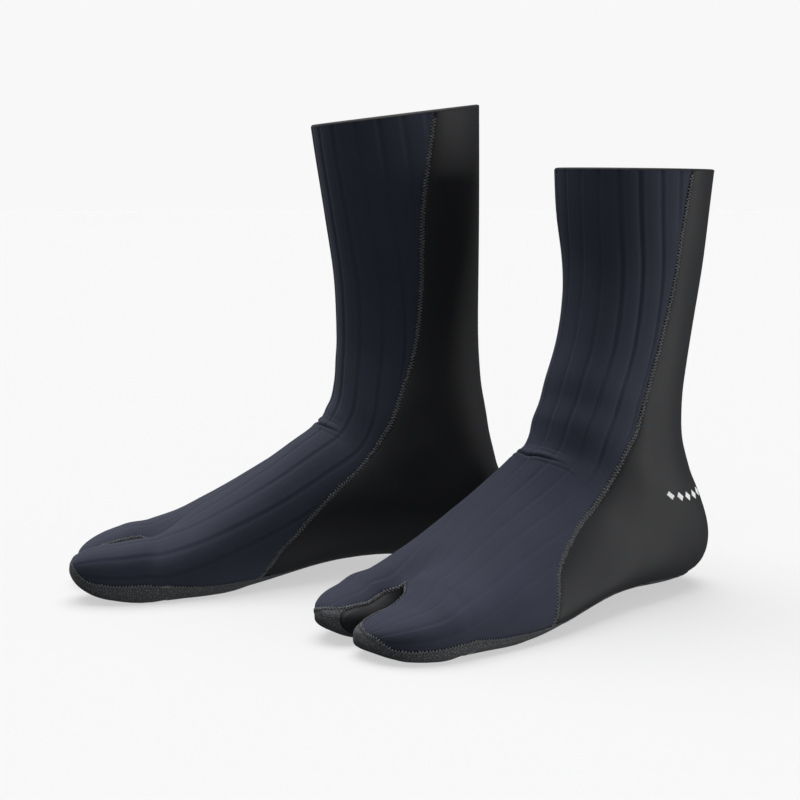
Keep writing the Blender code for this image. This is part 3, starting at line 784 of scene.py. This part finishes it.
def build_toe(boot, key):
    toe = boot.toes[key]
    tip = toe.shape["tip"]
    top_end, gusset_end = tip - toe.shape["bumper"], tip - 5
    xs = TOE_ROOT + (tip - TOE_ROOT) * np.sin(np.linspace(0, 1, 46) * pi / 2)
    xs = np.unique(np.concatenate([xs, [top_end, gusset_end], np.linspace(TOE_ROOT, TOE_ROOT + 8, 7)]))
    top_low, top_high = tongue(xs, top_end, toe.shape["tongue"], SLIT_SHARE, BUMPER_SHARE)
    slit_low, slit_high = tongue(xs, gusset_end, 12, -SLIT_SHARE, SLIT_SHARE)

    def patch(rows, start, stop, columns, relief, seams=(99, 99)):
        """A patch of the pocket; each of its two edges is a seam up to a certain distance past the root."""
        shares = even_turns(start[rows], stop[rows], columns)
        here = xs[rows]
        past = [3 * np.maximum(here - TOE_ROOT - end, 0)[:, None] for end in seams]
        normals = toe.normals(here, shares)
        raw = toe.at(here, shares)
        width = lengths(raw)[:, -1:]
        part = np.linspace(0, 1, columns)[None]
        to_edge = np.minimum(np.hypot(part * width, past[0]), np.hypot((1 - part) * width, past[1]))
        height, mark = relief(here, shares, to_edge)
        points = press(raw + normals * height[..., None])
        cloth = np.stack([np.broadcast_to(here[:, None], shares.shape), shares * 110], axis=-1)
        return dict(points=points, outward=normals, cloth=cloth, mark=mark)

    fade_root = smooth(xs, TOE_ROOT, TOE_ROOT + 6)

    def top_relief(here, shares, to_edge):
        slit = (shares - SLIT_SHARE) / (BUMPER_SHARE - SLIT_SHARE)
        number = rib_number(toe.side * slit * toe.seam * boot.skin.girth(np.zeros(1), toe.side)[0])
        height, mark = rib_relief(number, 13.5, .55 * smooth(to_edge, 1.5, 5))
        height = height * (1 - .5 * smooth(here, TOE_ROOT + 20, tip - 10))[:, None]
        on_slit = smooth(here, TOE_ROOT, TOE_ROOT + 5)[:, None]
        on_slit = np.where(slit < .5, on_slit, 1)
        # painted shade in the rib grooves and in the valleys beside the toe seams
        return height + edge_dip(to_edge) * on_slit, np.maximum(mark, .8 * bump(to_edge, 1.2) * on_slit)

    def plain_relief(here, shares, to_edge):
        height = edge_dip(to_edge) * smooth(here, TOE_ROOT - 4, TOE_ROOT + 5)[:, None]
        # painted shade in the valleys beside the toe seams
        return height, .6 * bump(to_edge, 1.2)

    top_rows = np.where(xs <= top_end + 1e-6)[0]
    slit_rows = np.where(xs <= gusset_end + 1e-6)[0]
    wedge_rows = np.where(xs >= gusset_end - 12 - 1e-6)[0]
    every = np.arange(len(xs))
    name = f"{boot.name}_{key}"
    top = new_mesh(f"{name}_top_cloth", boot, [patch(top_rows, top_low, top_high, 60, top_relief)], [JERSEY])
    slit = new_mesh(f"{name}_gusset_cloth", boot, [patch(slit_rows, slit_low, slit_high, 24, plain_relief)], [SMOOTH])
    cap_from = np.where(xs > top_end, (SLIT_SHARE + BUMPER_SHARE) / 2, top_high)
    cap_to = np.where(xs > gusset_end, 1, 1 + slit_low)
    wedge_from = np.where(xs > gusset_end, 0, slit_high)
    wedge_to = np.where(xs > top_end, (SLIT_SHARE + BUMPER_SHARE) / 2, top_low)
    cap = new_mesh(f"{name}_bumper_cloth", boot,
                   [patch(every, cap_from, cap_to, 44, plain_relief, (top_end - TOE_ROOT, gusset_end - TOE_ROOT)),
                    patch(wedge_rows, wedge_from, wedge_to, 16, plain_relief,
                          (gusset_end - TOE_ROOT, top_end - TOE_ROOT))], [GRIP])
    for obj, slot, nodes in ((top, "ribbed_jersey", [f"{name}_top"]), (slit, "smooth_neoprene", [f"{name}_gusset"]),
                             (cap, "grip_sole", [f"{name}_sole", f"{name}_band"])):
        boot.fold(obj, key)
        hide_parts(*nodes)
    high = xs[top_rows]
    edge_x = np.concatenate([high, high[-2::-1]])
    edge_s = np.concatenate([top_high[top_rows], top_low[top_rows][-2::-1]])
    points = toe.at(edge_x, edge_s[:, None])[:, 0]
    normals = toe.normals(edge_x, edge_s[:, None])[:, 0]
    seam = stitches(f"{name}_stitches", boot, points, normals, 2.3, 1.8, .27, -.3, THREAD)
    boot.fold(seam, key)
    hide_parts(f"{name}_seam")


def build_seams(boot):
    skin = boot.skin
    name = boot.name
    for label, side in (("inner", 1), ("outer", -1)):
        places = skin.even_places(SIDE_SEAM_START, CUFF - .05, 2.5, turns=(.35, -.35))
        turns = side * skin.side_share(places, side)[:, None]
        points, normals = skin.at(places, turns)[:, 0], skin.normals(places, turns)[:, 0]
        seam = stitches(f"{name}_{label}_stitches", boot, points, normals, 3.4, 1.9, .3, -.35, THREAD)
        boot.fold(seam, "shaft")
        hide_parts(*[f"{name}_{label}_seam_{part}" for part in ("foot", "ankle", "shaft")])
    places = np.append(skin.even_places(0, boot.heel - .01, 2.5, turns=(.8, -.8)), boot.heel)
    lines = []
    for side in (1, -1):
        shares = skin.seam_share(places, side)
        shares[-1] = 1
        turns = side * np.minimum(shares, .9999)[:, None]
        lines.append((press(skin.at(places, turns))[:, 0], skin.normals(places, turns)[:, 0]))
    points = np.concatenate([lines[0][0], lines[1][0][-2::-1]])
    normals = np.concatenate([lines[0][1], lines[1][1][-2::-1]])
    seam = stitches(f"{name}_sole_stitches", boot, points, normals, 2.3, 1.8, .27, -.3, THREAD)
    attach(seam, f"{name}_foot")
    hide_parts(f"{name}_sole_seam")


def build_lining(boot):
    """Inner face of the sock and the rounded edge of the cuff."""
    skin = boot.skin
    places = skin.even_places(.3, CUFF, 6, turns=(0, .5, 1))
    turns = np.tile(np.linspace(-1, 1, 65), (len(places), 1))
    normals = skin.normals(places, turns)
    points = skin.at(places, turns) - normals * SKIN
    cloth = np.stack([turns * 130, np.broadcast_to(places[:, None] * 22, turns.shape)], axis=-1)
    mark = np.zeros(turns.shape)
    inner = dict(points=points, outward=-normals, cloth=cloth, mark=mark)
    rim_turns = np.tile(np.linspace(-1, 1, 241), (7, 1))
    angle = np.linspace(0, pi, 7)[:, None, None]
    edge = np.full(7, CUFF)
    n = skin.normals(edge, rim_turns)
    centre = skin.at(edge, rim_turns)
    up = skin.at(edge, rim_turns) - skin.at(edge - .05, rim_turns)
    up /= np.linalg.norm(up, axis=-1, keepdims=True)
    half = SKIN / 2
    points = centre - n * half + n * half * np.cos(angle) + up * 1.2 * np.sin(angle)
    rim = dict(points=points, outward=up, slot=1, mark=np.zeros(rim_turns.shape),
               cloth=np.stack([rim_turns * 130, np.zeros(rim_turns.shape)], axis=-1))
    obj = new_mesh(f"{boot.name}_lining_cloth", boot, [inner, rim], [LINING, SMOOTH])
    boot.fold(obj, "shaft")


for boot_name, placing in BOOTS.items():
    boot = Boot(boot_name, **placing)
    build_front(boot)
    build_back(boot)
    build_heel_mark(boot)
    build_sole(boot)
    for toe_name in boot.toes:
        build_toe(boot, toe_name)
    build_seams(boot)
    build_lining(boot)


# ---------------------------------------------------------------- floor, light and camera

def stage_material(name, colour, glow):
    n = Nodes(name)
    return n.set(Base_Color=(*[colour] * 3, 1), Roughness=.9, Specular_IOR_Level=0.0,
                 Emission_Color=(1, 1, 1, 1), Emission_Strength=glow)


def floor_and_backdrop():
    """A pale floor that runs out to a plain backdrop of the same brightness."""
    ring = [(sin(a) * 9, cos(a) * 9) for a in np.linspace(0, 2 * pi, 65)[:-1]]
    mesh = bpy.data.meshes.new("floor")
    mesh.from_pydata([(x, y, 0) for x, y in reversed(ring)], [], [tuple(range(64))])
    mesh.materials.append(stage_material("floor", .25, .539))
    ground = bpy.data.objects.new("floor", mesh)
    wall = bpy.data.meshes.new("backdrop")
    points = [(x * cos(e), y * cos(e), 9 * sin(e)) for e in np.linspace(0, pi / 2 - .01, 12) for x, y in ring]
    faces = [(r * 64 + k, r * 64 + (k + 1) % 64, r * 64 + 64 + (k + 1) % 64, r * 64 + 64 + k)
             for r in range(11) for k in range(64)]
    wall.from_pydata(points, [], faces)
    wall.materials.append(stage_material("backdrop", 0.0, .939))
    backdrop = bpy.data.objects.new("backdrop", wall)
    for obj in (ground, backdrop):
        obj.visible_diffuse = False
        obj.visible_glossy = False
        obj.visible_shadow = False
        bpy.context.collection.objects.link(obj)


def sun(name, azimuth, elevation, softness, strength):
    """A soft distant light; azimuth is measured from +X towards +Y."""
    light = bpy.data.lights.new(name, "SUN")
    light.energy = strength
    light.angle = radians(softness)
    obj = bpy.data.objects.new(name, light)
    bpy.context.collection.objects.link(obj)
    obj.rotation_euler = (0, radians(90 - elevation), radians(azimuth))


floor_and_backdrop()
sun("top_light", 110, 80, 60, 4.0)
sun("right_light", 347, -5, 26, 2.1)
sun("left_light", 150, 25, 60, .65)
sun("front_light", 262, 35, 60, .65)

world = bpy.data.worlds.new("studio")
bpy.context.scene.world = world
world.use_nodes = True
world.node_tree.nodes["Background"].inputs["Color"].default_value = (.9, .92, .95, 1)
world.node_tree.nodes["Background"].inputs["Strength"].default_value = .16

CAMERA_PLACE = (6.4, -922.5, 256.9)
FOCAL_SHARE = 1.9745            # focal length as a share of the picture's width
HORIZON_SHARE = .2911           # height of the horizon above the middle, as a share of the width
lens = bpy.data.cameras.new("camera")
lens.sensor_width = 36
lens.lens = 36 * FOCAL_SHARE
camera = bpy.data.objects.new("camera", lens)
bpy.context.collection.objects.link(camera)
camera.location = [value * MM for value in CAMERA_PLACE]
camera.rotation_euler = (pi / 2 - atan(HORIZON_SHARE / FOCAL_SHARE), 0, 0)
bpy.context.scene.camera = camera
bpy.context.scene.view_settings.view_transform = "Standard"
